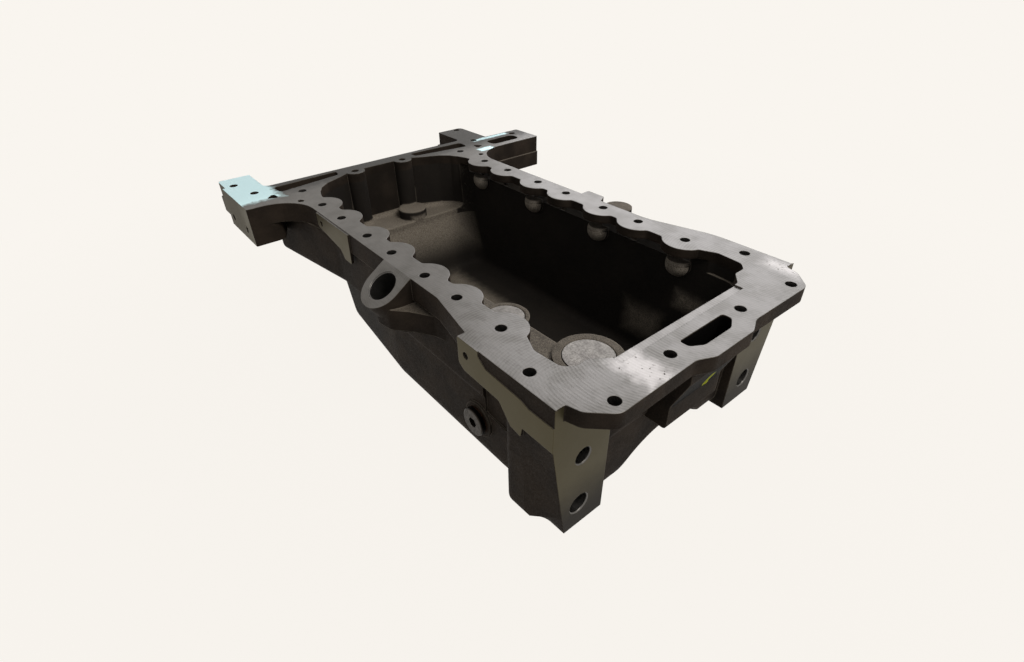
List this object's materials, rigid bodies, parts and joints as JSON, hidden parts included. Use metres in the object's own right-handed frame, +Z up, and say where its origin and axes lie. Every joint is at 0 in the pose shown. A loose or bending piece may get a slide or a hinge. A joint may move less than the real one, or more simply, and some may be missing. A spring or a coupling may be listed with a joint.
{
  "type": "engine oil pan",
  "caption": "Deep structural cast-iron oil pan with a milled joint flange, scalloped rim, flywheel-end wings, front mounting lugs and a slanted side port.",
  "frame": {"origin": "centre of the rectangle of the outer side bolts, on the milled joint face with the crankcase", "axes": "+X towards the front of the engine, +Z up out of the joint face, -Y the side with the slanted port"},
  "size_m": [0.662, 0.47, 0.176],
  "materials": {
    "cast_iron": "dark raw sand-cast iron, milled grey on the joint face, lug faces and pads",
    "plug_steel": "oiled dark steel",
    "washer_copper": "dull copper, crushed flat",
    "core_plug_steel": "plain pressed steel"
  },
  "bodies": {
    "root": {"oil_pan": "cast_iron", "drain_plug": "plug_steel", "drain_washer": "washer_copper", "core_plug_rear": "core_plug_steel", "core_plug_front": "core_plug_steel"}
  },
  "joints": []
}
